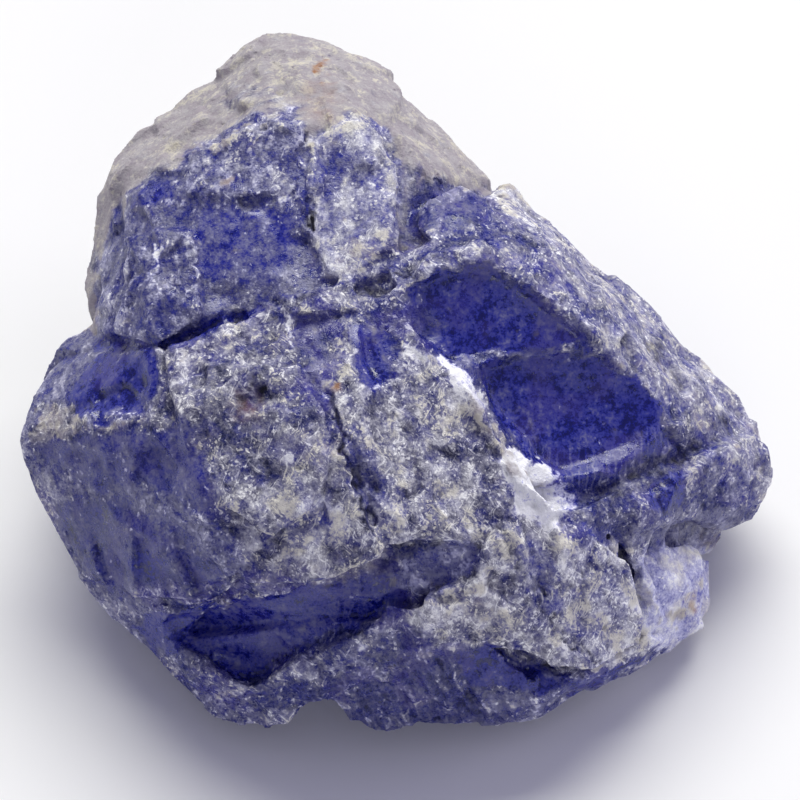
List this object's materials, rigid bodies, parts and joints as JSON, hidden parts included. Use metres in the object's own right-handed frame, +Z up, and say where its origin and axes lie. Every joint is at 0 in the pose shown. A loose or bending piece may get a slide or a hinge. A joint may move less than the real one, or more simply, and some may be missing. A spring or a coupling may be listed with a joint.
{
  "type": "rough gemstone crystal",
  "caption": "Rough violet-blue crystal: a broken wedge-shaped lump with dusty facets, clear windows, ledges and a pale cap, lying on a flat broken face.",
  "frame": {"origin": "middle of the stone's outline on the ground, at the height of its flat resting face", "axes": "+Z up, +X along the stone's width to the right as the picture sees it, -Y towards the picture's viewer"},
  "size_m": [0.0304, 0.0264, 0.0159],
  "materials": {
    "crystal": "violet-blue crystal, part glassy and part dusty, with a pale grey-pink cap"
  },
  "bodies": {
    "root": {"tanzanite_crystal": "crystal"}
  },
  "joints": []
}
